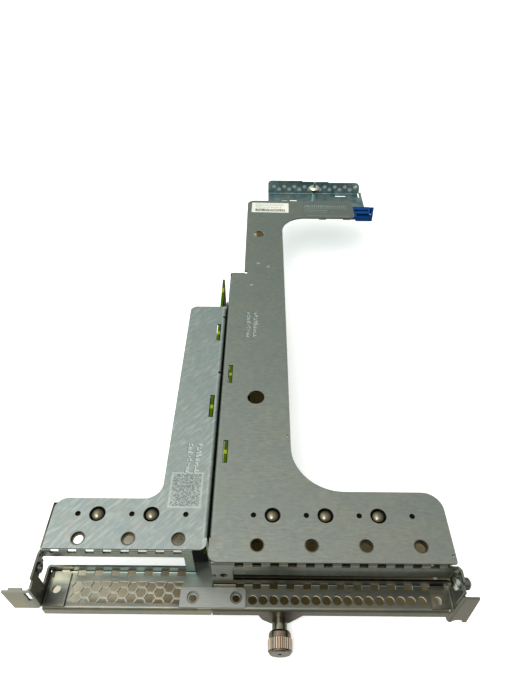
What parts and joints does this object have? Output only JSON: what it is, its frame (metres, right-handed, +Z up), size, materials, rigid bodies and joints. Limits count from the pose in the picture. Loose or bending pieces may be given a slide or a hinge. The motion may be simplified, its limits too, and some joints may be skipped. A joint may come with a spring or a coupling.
{
  "type": "riser cage bracket",
  "caption": "Low folded-steel riser cage bracket for a server: twin wings over a slotted, perforated rear shelf, a long arm to a far tray, a captive thumbscrew and a blue touch handle.",
  "frame": {"origin": "midway between the outer faces of the two side walls, on the outer face of the right slot wall, at the level of the cage's lowest edge (the tip of the thumbscrew tab)", "axes": "+X to the right as seen from behind the server, along the card slots; +Y into the server, from the rear shelf along the arm; +Z up, away from the main board"},
  "size_m": [0.2136, 0.387, 0.051],
  "materials": {
    "zinc_sheet": "satin galvanised, finely brushed",
    "zinc_bracket": "satin galvanised, a little darker",
    "plated_stud": "bright plated",
    "blank_steel": "satin galvanised in shade",
    "dark_nut": "dark plated",
    "circuit_board": "green solder resist on glass laminate",
    "black_plastic": "moulded",
    "nickel": "nickel plated",
    "tray_steel": "satin zinc, dark",
    "blue_zinc": "blue zinc plated",
    "yellow_plating": "yellow plated",
    "blue_plastic": "moulded, faintly glossy",
    "label_paper": "printed label with no words",
    "clear_film": "clear film over the zinc sheet"
  },
  "bodies": {
    "cage": {"right_top_sheet": "zinc_sheet", "left_top_sheet": "zinc_sheet", "right_rear_bracket": "zinc_bracket", "left_rear_bracket": "zinc_bracket", "splice_plate": "zinc_sheet", "domed_studs": "plated_stud", "slot_blank": "blank_steel", "blank_screw": "plated_stud", "dome_nut": "dark_nut", "clinch_nut": "zinc_bracket", "left_riser_board": "circuit_board", "right_riser_board": "circuit_board", "left_slot_connector": "black_plastic", "right_slot_connector": "black_plastic", "board_standoffs": "plated_stud", "board_screws": "plated_stud", "screw_ferrule": "nickel", "far_tray": "tray_steel", "tray_bushing": "zinc_bracket", "touch_handle": "blue_plastic", "part_label": "label_paper", "film_label": "clear_film"},
    "thumbscrew_shank": {"screw_shank": "nickel"},
    "thumbscrew_knob": {"screw_knob": "nickel"},
    "tray_screw": {"tray_screw_shaft": "blue_zinc"},
    "tray_screw_cap": {"tray_screw_head": "yellow_plating"}
  },
  "joints": [
    {"name": "thumbscrew_push", "type": "slide", "parent": "cage", "child": "thumbscrew_shank", "axis": [0, 1, 0], "range_m": [0, 0.005], "stiffness_N_per_m": 400, "springref_m": -0.004},
    {"name": "thumbscrew_turn", "type": "hinge", "parent": "thumbscrew_shank", "child": "thumbscrew_knob", "pos_m": [0.015, -0.02, 0.0065], "axis": [0, 1, 0], "continuous": true},
    {"name": "tray_screw_push", "type": "slide", "parent": "cage", "child": "tray_screw", "axis": [0, 0, -1], "range_m": [0, 0.009], "stiffness_N_per_m": 250, "springref_m": -0.004},
    {"name": "tray_screw_turn", "type": "hinge", "parent": "tray_screw", "child": "tray_screw_cap", "pos_m": [0.0513, 0.34, 0.045], "axis": [0, 0, 1], "continuous": true}
  ]
}
